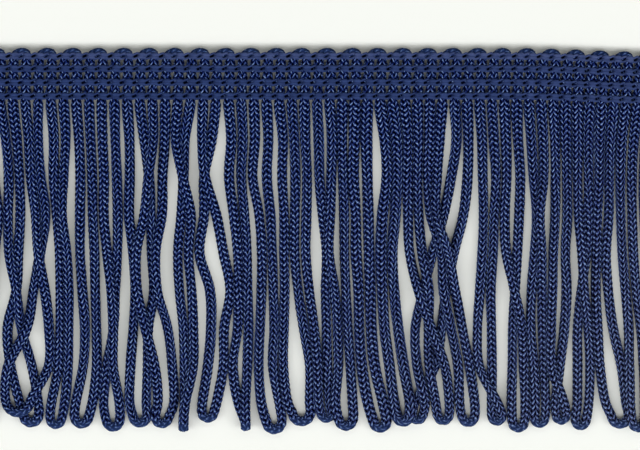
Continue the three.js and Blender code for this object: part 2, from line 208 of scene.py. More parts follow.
# The cord's girth. It flares just below the heading. Inside the heading each row of chain presses it down
# and draws it in a little below the row, which opens a tick: a small gap between two cords.
FLARE = 0.18
FLARE_CLOSING = 0.07
FLARE_REACH = 10 * MM
HEADING_WIDTH = 1.19
HEADING_HEIGHT = 0.9
WIDENS_BELOW_EDGE = 1.5 * MM
WIDENS_ABOVE_EDGE = 0.3 * MM
TICK_SQUEEZE = 0.45
TICK_REACH = 0.55 * MM
TICK_BELOW_ROW = 1.0 * MM
ROW_PRESS = 0.2
ROW_REACH = 0.9 * MM
TOP_ROW_SAG = 0.28 * MM
TIGHTEST_SHARE = 0.9
LEAST_BEND = 1.0

# The knit: points across one wale and rings along one stitch, with their heights as shares of the relief.
# One arm of a stitch is staggered against the other, and the relief is lower at the cord's two edges.
WALE_ARMS = 2
WALE_POINTS = 4
STITCH_RINGS = 5
STAGGER_RINGS = 1
RING_RELIEF = (-1.0, -0.1, 0.6, 0.7, 0.1)
WALE_RELIEF = (-0.55, 0.1, -0.55, 0.1)
WALE_LEAN = (-0.5, 0.0, 0.5, 0.0)
EDGE_RELIEF = 0.5
BAKE_STRIPS = 6

# How the knit rolls, swells and leans along the cord, and how far one arm strays from the next
ROLL_RUN = 25 * MM
SWELL_RUN = 9 * MM
SWELL = 0.05
LEAN_DRIFT = 0.5
ARM_STRAY = 0.25

# The knit's finish, in shares of a stitch. A fineness is given across the cord and along it. Any other
# pair says where a change starts and where it is full.
ARM_STAGGER = 0.28
ARM_BOW = 0.25
PLY_FINENESS = (2.6, 6.4)
PLY_WANDER = 0.42
FIBRE_FINENESS = (5.0, 3.6)
FIBRE_WANDER = 0.35
PATCH_FINENESS = (0.2, 0.08)
HEADING_PLY_WANDER = 0.55
HEADING_FIBRE_WANDER = 0.25
BODY_HEIGHTS = (0.1, 0.6)
# Where the holes between the arms are painted dark as shade
HOLE_SHADE_HEIGHTS = (0.92, 0.72)
HOLE_SHADE_ARM_SHARE = 0.8
STROKE_HEIGHTS = (0.827, 0.918)
STROKE_ARMS = (0.136, 0.591)
WALE_SHEEN = 0.4
PATCH_SHEEN = 0.4
ARM_SHEEN = 0.5

# Painted light: a pale haze over the loops, more towards the lower right. Yarn that turns over the
# scallops, with the same colour painted as light on the bottoms of the loops, where they face the long
# light
HAZE_DROP = 90 * MM
HAZE_LEFT = 0.2
HAZE_SHARE = 0.2
SCALLOP_FOOT = 2.9 * MM
TURNED_OVER = 0.8
LIT_BOTTOM_LEVELS = (0.024, 0.0)
LIT_BOTTOM = 0.65

# The chain yarn's finish: its filaments; painted light, which makes it lighter along the top row and
# towards the right;
# and painted shade, which darkens the ends of a stitch down inside the heading. The floats look like the
# middle of a stitch.
FILAMENT_FINENESS = (22.4, 1.92)
FILAMENT_DETAIL = 3.0
FILAMENT_STREAK = 1.4
YARN_PATCH_FINENESS = (350, 1100)
YARN_PATCH_STREAK = 1.6
TOP_ROW_FOOT = 0.0
TOP_ROW_LIGHT = 0.8
RIGHT_END_HAZE = 0.4
DEEP_SHADE_ENDS = (1 / 6, 1 / 9)
STITCH_MIDDLE = 0.5

# Half of one chain stitch: share of the stitch along the row, then, in millimetres, how far the strand
# lies from the stitch's middle line, how far that line lies up the row, the strand's height above the
# cords and its half-width
CHAIN_STITCH = (
    (-0.14, 0.30, 0.00, -2.40, 0.36),
    (-0.07, 0.28, 0.00, -1.90, 0.36),
    (0.06, 0.22, 0.10, -1.40, 0.32),
    (0.16, 0.18, 0.16, -0.90, 0.24),
    (0.21, 0.17, 0.18, -0.30, 0.20),
    (0.25, 0.25, 0.16, 0.12, 0.23),
    (0.36, 0.32, 0.06, 0.42, 0.41),
    (0.54, 0.31, 0.00, 0.48, 0.52),
    (0.70, 0.35, -0.05, 0.42, 0.46),
    (0.77, 0.46, -0.20, 0.37, 0.31),
    (0.92, 0.56, -0.12, 0.31, 0.26),
    (1.10, 0.57, 0.10, 0.17, 0.26),
    (1.23, 0.43, 0.19, -0.15, 0.25),
    (1.34, 0.00, 0.16, -0.40, 0.20),
)
CHAIN_CELLS = 8
STRAND_POINTS = 8
STRAND_STEPS = 2
STRAND_RINGS = 2 * STRAND_STEPS * (len(CHAIN_STITCH) - 1)
FLOAT_RUNS = 24
FULLNESS_SPREAD = 0.04
TURN_UP = 0.6 * MM

# The stage
FLOOR_GAP = 0.02 * MM
FLOOR_REACH = 3.0
FLOOR_FINENESS = (400, 400)
FLOOR_GRAIN = 0.03
WHITE = (1.0, 1.0, 1.0, 1.0)
FILL_COLOUR = (0.96, 0.93, 0.8, 1.0)
VIEW_MIDDLE = (0.58 * MM, -41.2 * MM, 0.0)
CAMERA_HEIGHT = 1.2
CLIP_RANGE = 20
SENSOR_WIDTH = 36.0


class SoftLight(NamedTuple):
    """A light panel that faces the trim"""

    name: str
    place: tuple
    size: tuple
    share: float


# A long panel beyond the loops, a weak one beyond the heading, and small ones overhead and at each side
LIGHTS = (
    SoftLight("long light", (0.0, -3.45, 6.3), (26.0, 2.85), 2.18),
    SoftLight("high light", (0.0, -1.2, 4.2), (0.5, 0.3), 0.019),
    SoftLight("top light", (0.0, 1.5, 2.1), (8.0, 0.9), 0.04),
    SoftLight("left light", (-2.4, -0.9, 1.8), (1.6, 1.6), 0.04),
    SoftLight("right light", (2.4, -0.9, 1.8), (1.6, 1.6), 0.04),
)


class KnittedCord(bpy.types.PropertyGroup):
    """The cord that the loops, the legs in the heading and the scallops are made of"""

    width: bpy.props.FloatProperty(
        name="Width", description="Across the cord as it lies", default=2.78 * MM, unit="LENGTH")
    thickness: bpy.props.FloatProperty(
        name="Thickness", description="Height of the cord as it lies", default=2.5 * MM, unit="LENGTH")
    stitch: bpy.props.FloatProperty(
        name="Stitch", description="Length of one knit stitch", default=1.46 * MM, unit="LENGTH")
    wales: bpy.props.IntProperty(
        name="Wales", description="Columns of stitches round the cord", default=4, min=2)
    relief: bpy.props.FloatProperty(
        name="Relief", description="Depth of the gaps between stitches", default=0.165 * MM,
        unit="LENGTH")
    lean: bpy.props.FloatProperty(
        name="Lean", description="Drop of a stitch's arm along the cord", default=1.1 * MM,
        unit="LENGTH")
    unevenness: bpy.props.FloatProperty(
        name="Unevenness", description="How much one stitch differs from the next", default=0.22,
        subtype="FACTOR")
    roll: bpy.props.FloatProperty(
        name="Roll", description="How far the cord rolls about itself along a leg", default=0.8,
        subtype="ANGLE")
    # Painted shade: the near black of the holes where the stitches part
    hole_shade: bpy.props.FloatVectorProperty(
        name="Hole", description="Colour where the stitches part", default=(0.0002, 0.0003, 0.002),
        size=3, subtype="COLOR")
    shade: bpy.props.FloatVectorProperty(
        name="Shade", description="Colour between the stitches' arms", default=(0.0024, 0.0055, 0.045),
        size=3, subtype="COLOR")
    body: bpy.props.FloatVectorProperty(
        name="Body", description="Colour of the yarn", default=(0.0098, 0.0245, 0.147), size=3,
        subtype="COLOR")
    lustre: bpy.props.FloatVectorProperty(
        name="Lustre", description="Colour of the yarn where it catches the light",
        default=(0.235, 0.36, 0.61), size=3, subtype="COLOR")
    # Yarn that turns over the scallops has this colour. On the bottoms of the loops the same colour is
    # painted light, where they face the long light
    turned_and_lit: bpy.props.FloatVectorProperty(
        name="Turned", description="Colour of the yarn on the outside of the cord's turns",
        default=(0.022, 0.045, 0.135), size=3, subtype="COLOR")
    # Painted light: a pale haze mixed into the loops' colour, more towards the lower right
    painted_haze: bpy.props.FloatVectorProperty(
        name="Dust", description="Colour of the lint on the loops", default=(0.21, 0.22, 0.26), size=3,
        subtype="COLOR")


class ChainHeading(bpy.types.PropertyGroup):
    """The four rows of chain stitch that hold the cord"""

    fullness: bpy.props.FloatProperty(
        name="Fullness", description="How full the chain stitches are, as a share of a plain row",
        default=1.1)
    strand: bpy.props.FloatProperty(
        name="Strand", description="Across the flat yarn at the back", default=0.84 * MM, unit="LENGTH")
    thickness: bpy.props.FloatProperty(
        name="Thickness", description="Through the flat yarn", default=0.46 * MM, unit="LENGTH")
    lead: bpy.props.FloatProperty(
        name="Lead", description="How far a stitch starts beyond the gap between two cords",
        default=0.3 * MM, unit="LENGTH")
    shade: bpy.props.FloatVectorProperty(
        name="Shade", description="Colour between filaments", default=(0.014, 0.025, 0.084), size=3,
        subtype="COLOR")
    body: bpy.props.FloatVectorProperty(
        name="Body", description="Colour of the flat yarn", default=(0.032, 0.058, 0.185), size=3,
        subtype="COLOR")
    # Painted light: the yarn made lighter along the top row and towards the right
    painted_light: bpy.props.FloatVectorProperty(
        name="Faded", description="Colour of the yarn along the top row and towards the right",
        default=(0.068, 0.092, 0.215), size=3, subtype="COLOR")
    # Painted shade: the ends of a stitch darkened down inside the heading
    deep_shade: bpy.props.FloatVectorProperty(
        name="Tucked", description="Colour of the yarn down inside the heading",
        default=(0.001, 0.002, 0.012), size=3, subtype="COLOR")


class TrimStage(bpy.types.PropertyGroup):
    """The pale floor, the soft light and the camera above the trim"""

    floor: bpy.props.FloatVectorProperty(
        name="Floor", description="Colour of the floor", default=(0.9, 0.92, 0.885), size=3,
        subtype="COLOR")
    fill: bpy.props.FloatProperty(
        name="Fill", description="Strength of the light from all round", default=0.15)
    key: bpy.props.FloatProperty(
        name="Key", description="Power of the soft lights", default=400.0, unit="POWER")
    view_width: bpy.props.FloatProperty(
        name="View Width", description="Length of trim that the camera sees", default=168.96 * MM,
        unit="LENGTH")


class Wire:
    """A socket's value inside a finish. Sums written with it add their Math nodes."""

    def __init__(self, finish, socket):
        self.finish = finish
        self.socket = socket

    def output(self, name):
        return Wire(self.finish, self.socket.node.outputs[name])

    def math(self, operation, *values):
        return self.finish.node("ShaderNodeMath", {"operation": operation}, values)

    def __add__(self, other):
        return self.math("ADD", self, other)

    def __radd__(self, other):
        return self.math("ADD", other, self)

    def __sub__(self, other):
        return self.math("SUBTRACT", self, other)

    def __rsub__(self, other):
        return self.math("SUBTRACT", other, self)

    def __mul__(self, other):
        return self.math("MULTIPLY", self, other)

    def __rmul__(self, other):
        return self.math("MULTIPLY", other, self)

    def __mod__(self, other):
        return self.math("FLOORED_MODULO", self, other)

    def __pow__(self, other):
        return self.math("POWER", self, other)

    def __abs__(self):
        return self.math("ABSOLUTE", self)

    def floor(self):
        return self.math("FLOOR", self)

    def clamped(self):
        return self.finish.node("ShaderNodeClamp", {}, (self, 0.0, 1.0))


class Finish:
    """A procedural finish for a material or for the world, put together node by node"""

    def __init__(self, owner):
        self.owner = owner
        owner.use_nodes = True
        self.tree = owner.node_tree
        self.tree.nodes.clear()

    def node(self, kind, settings, sockets=()):
        """Adds a node. Its settings come first, then its sockets' values or links, in order or by name."""
        made = self.tree.nodes.new(kind)
        for name, setting in settings.items():
            setattr(made, name, setting)
        if isinstance(sockets, dict):
            pairs = [(made.inputs[name], value) for name, value in sockets.items()]
        else:
            pairs = zip([socket for socket in made.inputs if socket.enabled], sockets)
        for socket, value in pairs:
            if isinstance(value, Wire):
                self.tree.links.new(value.socket, socket)
            else:
                socket.default_value = value
        shown = [socket for socket in made.outputs if socket.enabled]
        return Wire(self, shown[0]) if shown else None

    def mix(self, share, first, second):
        """A colour between two others"""
        settings = {"data_type": "RGBA", "clamp_factor": True}
        return self.node("ShaderNodeMix", settings, (share, first, second))

    def place(self, x, y, z=0.0):
        """A vector from its three coordinates"""
        return self.node("ShaderNodeCombineXYZ", {}, (x, y, z))

    def parts(self, vector):
        """A vector's first two coordinates"""
        parts = self.node("ShaderNodeSeparateXYZ", {}, (vector,))
        return parts, parts.output("Y")

    def map(self, name):
        """The two coordinates of a UV map"""
        return self.parts(self.node("ShaderNodeUVMap", {"uv_map": name}))

    def lying(self, kind="Object"):
        """Places along the trim and up it: in metres, or as shares of a piece where they are Generated"""
        return self.parts(self.node("ShaderNodeTexCoord", {}).output(kind))

    def noise(self, x, y, fineness, detail=2.0):
        """Noise over two coordinates, with its fineness along each of them"""
        vector = self.place(x * fineness[0], y * fineness[1])
        sockets = {"Vector": vector, "Scale": 1.0, "Detail": detail}
        return self.node("ShaderNodeTexNoise", {"noise_dimensions": "3D"}, sockets)

    def surface(self, **sockets):
        """The material with its shader and the output that shows it"""
        named = {name.replace("_", " "): value for name, value in sockets.items()}
        shader = self.node("ShaderNodeBsdfPrincipled", {}, named)
        self.node("ShaderNodeOutputMaterial", {}, {"Surface": shader})
        return self.owner


def colour(value):
    """A property's colour with its alpha"""
    return (*value, 1.0)


def ramp(value, start, end):
    """From 0 where a value reaches the start to 1 where it reaches the end"""
    return ((value - start) * (1 / (end - start))).clamped()


def peak(value):
    """A wave that is 0 at whole numbers and 1 halfway between them"""
    return 1 - abs((value % 1) * 2 - 1)


def varied(value, spread):
    """A factor that varies about 1, from a value between 0 and 1"""
    return 1 + (value - 0.5) * spread


def rightward(x):
    """From 0 at the trim's left-hand end to 1 at its right-hand end"""
    return ramp(x, -TABLE_MIDDLE, TABLE_MIDDLE)


def knitted_cord_finish(cord):
    """Lustrous knitted yarn: a bright stroke of painted highlight along each raised arm of a stitch, and
    holes between painted dark as shade
    """
    finish = Finish(bpy.data.materials.new("knitted cord"))
    across, along = finish.map("Stitch")
    x, up = finish.lying()
    headed = ramp(up, HEADING_EDGE, HEADING_EDGE + MM)
    plies = finish.noise(across, along, PLY_FINENESS)
    fibres = finish.noise(across, along, FIBRE_FINENESS)
    patches = finish.noise(across, along, PATCH_FINENESS)

    # Height of the knit: each arm slants along the cord, bows, and wanders with its plies and fibres
    side = (across * WALE_ARMS).floor()
    arm = peak(across * WALE_ARMS)
    bowed = along + (side % WALE_ARMS) * ARM_STAGGER - ARM_BOW * arm
    stitch = bowed + (plies - 0.5) * (PLY_WANDER + HEADING_PLY_WANDER * headed)
    crest = peak(stitch)
    raised = crest + (fibres - 0.5) * (FIBRE_WANDER + HEADING_FIBRE_WANDER * headed)

    # Yarn with painted shade between the arms and a pale haze of painted light towards the lower right,
    # then the holes painted dark as shade, then painted highlights: the strokes where the arms catch the
    # light
    body = finish.mix(ramp(raised, *BODY_HEIGHTS), colour(cord.shade), colour(cord.body))
    # Painted light: a pale haze, stronger down the loops and towards the right
    painted_haze = ramp(up, 0.0, -HAZE_DROP) * (HAZE_LEFT + (1 - HAZE_LEFT) * rightward(x) ** 2)
    body = finish.mix(painted_haze * HAZE_SHARE, body, colour(cord.painted_haze))
    # Painted shade: near black in the holes between the arms
    hole_shade = ramp(crest + HOLE_SHADE_ARM_SHARE * arm, *HOLE_SHADE_HEIGHTS)
    body = finish.mix(hole_shade, body, colour(cord.hole_shade))
    cell = finish.place(side, stitch.floor(), 0.5)
    each_arm = finish.node("ShaderNodeTexWhiteNoise", {"noise_dimensions": "3D"}, (cell,))
    sheen = varied(peak(across), WALE_SHEEN) * varied(patches, PATCH_SHEEN) * varied(each_arm, ARM_SHEEN)
    stroke = ramp(raised, *STROKE_HEIGHTS) * ramp(arm, *STROKE_ARMS)
    caught = stroke * sheen
    knit = finish.mix(caught, body, colour(cord.lustre))

    # Yarn that turns over the scallops, and painted light on the bottoms of the loops, which face the long
    # light
    turned_over = ramp(up, SCALLOP_FOOT, SCALLOP_CREST) ** 0.5
    # Painted light: the lowest part of each loop made lighter, where it faces the long light
    lit_bottom = ramp(finish.lying("Generated")[1], *LIT_BOTTOM_LEVELS) ** 0.5
    turned_and_lit = turned_over * TURNED_OVER + lit_bottom * LIT_BOTTOM
    base = finish.mix(turned_and_lit, knit, colour(cord.turned_and_lit))

    rough = 0.5 - 0.16 * crest + 0.12 * (plies - 0.5)
    height = crest * 0.5 + plies * 0.5
    bump = finish.node("ShaderNodeBump", {}, {"Strength": 0.5, "Distance": 0.15 * MM, "Height": height})
    return finish.surface(Base_Color=base, Roughness=rough, Normal=bump, Specular_IOR_Level=0.0,
                          Coat_Weight=caught * 0.3, Coat_Roughness=0.35)


def chain_yarn_finish(heading):
    """Matte flat yarn, with its untwisted filaments running along it"""
    finish = Finish(bpy.data.materials.new("chain yarn"))
    around, along = finish.map("Strand")
    x, up = finish.lying()
    filaments = finish.noise(around, along, FILAMENT_FINENESS, FILAMENT_DETAIL)
    patches = finish.noise(x, up, YARN_PATCH_FINENESS)
    streak = 0.5 + (filaments - 0.5) * FILAMENT_STREAK + (patches - 0.5) * YARN_PATCH_STREAK
    yarn = finish.mix(streak, colour(heading.shade), colour(heading.body))
    # Painted light: lighter along the top row and towards the right
    painted_light = ramp(up, TOP_ROW_FOOT, HEADING_TOP) * TOP_ROW_LIGHT + rightward(x) ** 4 * RIGHT_END_HAZE
    yarn = finish.mix(painted_light * streak, yarn, colour(heading.painted_light))
    # Painted shade: the ends of a stitch, down inside the heading, darkened
    from_end = 0.5 - abs(along - 0.5)
    base = finish.mix(ramp(from_end, *DEEP_SHADE_ENDS), yarn, colour(heading.deep_shade))
    rough = 0.66 + 0.2 * (filaments - 0.5)
    bump = finish.node("ShaderNodeBump", {}, {"Strength": 0.5, "Distance": 0.1 * MM, "Height": filaments})
    return finish.surface(Base_Color=base, Roughness=rough, Normal=bump, Specular_IOR_Level=0.02)


def floor_finish(stage):
    """Plain pale paper with the faintest grain"""
    finish = Finish(bpy.data.materials.new("pale floor"))
    grain = finish.noise(*finish.lying(), FLOOR_FINENESS)
    tint = finish.mix(grain * FLOOR_GRAIN, colour(stage.floor), WHITE)
    return finish.surface(Base_Color=tint, Roughness=0.95, Specular_IOR_Level=0.1)


def studio_world(stage):
    """Dim light from all round, behind a backdrop as pale as the floor"""
    studio = Finish(bpy.data.worlds.new("studio"))
    fill = studio.node("ShaderNodeBackground", {}, (FILL_COLOUR, stage.fill))
    backdrop = studio.node("ShaderNodeBackground", {}, (colour(stage.floor), 1.0))
    in_view = studio.node("ShaderNodeLightPath", {}).output("Is Camera Ray")
    shown = studio.node("ShaderNodeMixShader", {}, (in_view, fill, backdrop))
    studio.node("ShaderNodeOutputWorld", {}, (shown,))
    return studio.owner


def smoothstep(low, high, values):
    """Values taken smoothly from 0 at the low place to 1 at the high one"""
    share = np.clip((values - low) / (high - low), 0.0, 1.0)
    return share * share * (3 - 2 * share)


def drooped(points):
    """Sinks the heading towards its right-hand end and leans it. The loops take up the sinking."""
    share = smoothstep(DROOP_STARTS, DROOP_ENDS, points[:, 0] + TABLE_MIDDLE)
    drop = np.maximum(0.0, HEADING_EDGE - points[:, 1])
    lower = DROOP_DEPTH * share * np.maximum(0.0, 1 - drop / DROOP_FADES_OVER)
    lean = HEADING_LEAN + LEAN_GROWTH * points[:, 0] / TABLE_MIDDLE
    aside = lean * np.maximum(0.0, points[:, 1] - HEADING_EDGE)
    return points + np.stack([aside, -lower, np.zeros_like(lower)], axis=1)


def root_x(leg):
    """Where a leg, or a place between two legs, stands in the heading"""
    closing = TIGHTER_BY * (max(leg, 0) / TIGHTEST_LEG) ** CLOSING_POWER
    return FIRST_LEG_X + LEG_PITCH * leg - closing - TABLE_MIDDLE


def row_places():
    """How far up the heading each row of chain stitch lies"""
    places = [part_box(node)[1].y - CAD_CHAIN_WIDTH / 2 for node in ROW_NODES]
    places[0] -= TOP_ROW_SAG
    return places


def smooth_line(knots, steps):
    """Points on a smooth curve through the knots. The first and last knots only steer it."""
    knots = np.asarray(knots, float)
    points = []
    for span in zip(knots, knots[1:], knots[2:], knots[3:]):
        gaps = [np.linalg.norm(b - a) ** 0.5 for a, b in zip(span, span[1:])]
        t = np.concatenate([[0.0], np.cumsum(gaps)])
        now = np.linspace(t[1], t[2], steps, endpoint=False)[:, None]

        def between(i, j, first, second):
            return ((t[j] - now) * first + (now - t[i]) * second) / (t[j] - t[i])

        ends = [between(i, i + 1, span[i], span[i + 1]) for i in range(3)]
        middles = [between(i, i + 2, ends[i], ends[i + 1]) for i in range(2)]
        points.append(between(1, 2, middles[0], middles[1]))
    points.append(knots[-2][None])
    return np.concatenate(points)


def walked(points):
    """Distance along a line of points"""
    steps = np.linalg.norm(np.diff(points, axis=0), axis=1)
    return np.concatenate([[0.0], np.cumsum(steps)])


def taken_at(values, along, places):
    """Values that are given along a line, at other places on it"""
    return np.stack([np.interp(places, along, column) for column in values.T], axis=1)


def evenly(points, step):
    """A line of points at even steps"""
    along = walked(points)
    count = max(2, int(round(along[-1] / step)) + 1)
    return taken_at(points, along, np.linspace(0.0, along[-1], count))


def rounded(values, reach):
    """Values along a line, each averaged with its neighbours over a reach given in steps"""
    spread = int(np.ceil(3 * reach))
    weights = np.exp(-0.5 * (np.arange(-spread, spread + 1) / reach) ** 2)
    weights /= weights.sum()
    padded = np.pad(values, ((spread, spread), (0, 0)), mode="reflect", reflect_type="odd")
    return np.stack([np.convolve(column, weights, mode="valid") for column in padded.T], axis=1)


class LoopPlan:
    """One loop's line in plan, from the root of its left-hand leg round its turn to the other root"""

    def __init__(self, index, loop, cord):
        self.loop = loop
        self.first_leg = FIRST_LEG + 2 * index
        self.stacked = loop.lay == "stacked"
        sag = STACKED_SAG if self.stacked else TURN_SAG
        lowest = loop.drop * MM - cord.width / 2 + sag
        gap = (loop.right[-1] - loop.left[-1]) * MM
        radius = np.clip(abs(gap) * TURN_SHARE, TIGHTEST_TURN, WIDEST_TURN)
        if self.stacked:
            radius = TIGHTEST_TURN
        sideways = 0.0 if self.stacked else radius * np.sign(gap)
        turn_x = loop.turn * MM - TABLE_MIDDLE
        turn_top = lowest - radius
        left = self.leg(loop.left, self.first_leg, turn_x, -sideways, turn_top, lowest)
        right = self.leg(loop.right, self.first_leg + 1, turn_x, sideways, turn_top, lowest)[::-1]
        angles = np.pi * np.arange(1, TURN_STEPS) / TURN_STEPS
        turn = np.stack([turn_x - sideways * np.cos(angles),
                         HEADING_EDGE - turn_top - radius * np.sin(angles)], axis=1)
        left = evenly(left, PLAN_STEP)
        right = evenly(right, PLAN_STEP)
        self.points = np.concatenate([left, turn, right])
        self.turn_start = len(left)
        self.turn_end = len(left) + len(turn)

    def leg(self, places, leg, turn_x, side, turn_top, lowest):
        """One leg in plan, from its root down to where the turn starts"""
        knots = [(root_x(leg), HEADING_EDGE + DROPS[0] * MM), (root_x(leg), HEADING_EDGE)]
        for drop, place in zip(DROPS, places):
            if drop * MM < turn_top - LAST_LEVEL_ABOVE_TURN:
                knots.append((place * MM - TABLE_MIDDLE, HEADING_EDGE - drop * MM))
        knots.append((turn_x + side, HEADING_EDGE - turn_top))
        knots.append((turn_x + side * LEAD_IN, HEADING_EDGE - lowest))
        return smooth_line(knots, SPAN_STEPS)

    def lay(self, laid):
        """Settles the loop on the floor and on the cord that already lies there"""
        along = walked(self.points)
        if self.stacked:
            along[(self.turn_start + self.turn_end) // 2:] += STACKED_BREAK
        held = resting_on(self.points, laid)
        held[0] = CORD_BACK
        held[-1] = CORD_BACK
        heights = settled(held, along)
        left = slice(0, self.turn_start)
        right = slice(self.turn_end, len(self.points))
        top, under = (left, right) if self.loop.top == LEFT else (right, left)
        below = np.column_stack([self.points[under], heights[under]])
        held[top] = np.maximum(held[top], resting_on(self.points[top], below))
        heights = settled(held, along)
        if self.stacked:
            start = heights[self.turn_start - 1]
            end = heights[self.turn_end]
            angles = np.pi * np.arange(1, TURN_STEPS) / TURN_STEPS
            heights[self.turn_start:self.turn_end] = (start + end - (end - start) * np.cos(angles)) / 2
        self.line = np.column_stack([self.points, heights])


def resting_on(points, laid):
    """How high each point of a cord is held by the cord that lies under it"""
    held = np.zeros(len(points))
    if len(laid):
        apart = np.linalg.norm(points[:, None, :] - laid[None, :, :2], axis=2) / CONTACT_WIDTH
        rise = CONTACT_HEIGHT * np.sqrt(np.maximum(0.0, 1 - apart ** 2))
        held = np.where(apart < 1, laid[None, :, 2] + rise, 0.0).max(axis=1)
    return held


def settled(held, along):
    """Lets a cord down from the places that hold it up, no more steeply than it hangs"""
    reach = np.abs(along[:, None] - along[None, :])
    slack = np.maximum(0.0, (held[None, :] - SLOPE * reach).max(axis=1))
    weights = np.exp(-0.5 * (reach / SOFTNESS) ** 2)
    return (weights @ slack) / weights.sum(axis=1)


def laid_loops(cord):
    """The loops in their order along the trim, each laid over those that lie under it"""
    plans = [LoopPlan(index, loop, cord) for index, loop in enumerate(LOOPS)]
    order = [plan for plan in plans if plan.loop.lay == "first"]
    order += [plan for plan in plans if plan.loop.lay != "first"]
    laid = np.empty((0, 3))
    for plan in order:
        plan.lay(laid)
        laid = np.concatenate([laid, plan.line])
    return plans


def scallop(leg, start, end, cord):
    """Part of the turn from one leg's top to the next leg's, above the heading"""
    angles = np.linspace(start, end, TURN_STEPS)
    radius = (root_x(leg + 1) - root_x(leg)) / 2
    crest = SCALLOP_CREST - SCALLOP_SETTLE - cord.width * SCALLOP_WIDTH / 2
    rise = np.sin(angles)
    x = root_x(leg) + radius * (1 - np.cos(angles)) + SCALLOP_LEAN * rise
    y = HEADING_TOP + (crest - HEADING_TOP) * rise
    return np.column_stack([x, y, np.full(TURN_STEPS, CORD_BACK)])


def piece_line(plan, cord):
    """One loop with its legs in the heading, and its half of the scallop or its cut end at each side"""
    parts = [plan.line]
    middle = np.pi / 2
    for leg in (plan.first_leg, plan.first_leg + 1):
        top = np.array([root_x(leg), HEADING_TOP, CORD_BACK])
        edge = np.array([root_x(leg), HEADING_EDGE, CORD_BACK])
        upright = np.linspace(top, edge, SPAN_STEPS)[:-1]
        end = np.array([top + (0.0, CUT_END, 0.0)])
        if leg == plan.first_leg:
            if leg > FIRST_LEG:
                end = scallop(leg - 1, middle - SCALLOP_OVERRUN, np.pi, cord)[:-1]
            parts = [end, upright] + parts
        else:
            if leg < LAST_LEG:
                end = scallop(leg, 0.0, middle + SCALLOP_OVERRUN, cord)[1:]
            parts = parts + [upright[::-1], end]
    line = evenly(np.concatenate(parts), PATH_STEP)
    line = evenly(rounded(line, ROUNDING / PATH_STEP), PATH_STEP)
    line[:, 2] += cord.thickness / 2
    return line


def framed(line):
    """Directions along, across and up from each point of a line, without sudden turns"""
    ahead = np.gradient(line, axis=0)
    ahead /= np.linalg.norm(ahead, axis=1, keepdims=True)
    across = np.cross((0.0, 0.0, 1.0), ahead)
    size = np.linalg.norm(across, axis=1, keepdims=True)
    across /= np.maximum(size, TINY)
    for i in range(1, len(line)):
        if size[i, 0] < NEARLY_UPRIGHT:
            across[i] = across[i - 1]
        elif across[i] @ across[i - 1] < 0:
            across[i] = -across[i]
    up = np.cross(ahead, across)
    return ahead, across, up


def girth(line, ahead, across, up, cord, rows, flatter):
    """Half-widths and half-heights along a cord.

    It flares below the heading, is held by the rows of chain, and is drawn in on tight turns.
    """
    y = line[:, 1]
    heading = smoothstep(HEADING_EDGE - WIDENS_BELOW_EDGE, HEADING_EDGE + WIDENS_ABOVE_EDGE, y)
    ticks = sum(np.exp(-((y - row + TICK_BELOW_ROW) / TICK_REACH) ** 2) for row in rows)
    flare = FLARE + FLARE_CLOSING * line[:, 0] / TABLE_MIDDLE
    below = flatter + flare * np.exp(-np.maximum(0.0, HEADING_EDGE - y) / FLARE_REACH)
    widths = cord.width / 2 * (below + heading * (HEADING_WIDTH - TICK_SQUEEZE * ticks - below))
    scalloped = smoothstep(rows[0], SCALLOP_CREST - cord.width / 2, y)
    widths *= 1 - scalloped * (1 - SCALLOP_WIDTH)
    held_down = sum(np.exp(-((y - row) / ROW_REACH) ** 2) for row in rows)
    heights = cord.thickness / 2 * (1 - heading * (1 - HEADING_HEIGHT + ROW_PRESS * held_down))
    bend = np.gradient(ahead, axis=0) / PATH_STEP
    sizes = []
    for half, way in ((widths, across), (heights, up)):
        tightness = np.maximum(np.abs((bend * way).sum(axis=1)), LEAST_BEND)
        sizes.append(np.minimum(half, TIGHTEST_SHARE / tightness))
    return rounded(np.column_stack(sizes), ROUNDING / PATH_STEP) - 0.5 * cord.relief


def wandering(rng, along, spacing):
    """A slow random drift along a line that comes to nothing at both its ends"""
    runs = int(round((along[-1] - along[0]) / spacing))
    values = rng.uniform(-1.0, 1.0, runs + 1)
    values[[0, -1]] = 0.0
    place = np.linspace(0.0, runs, len(along))
    run = np.minimum(place.astype(int), runs - 1)
    share = smoothstep(0.0, 1.0, place - run)
    return values[run] * (1 - share) + values[run + 1] * share


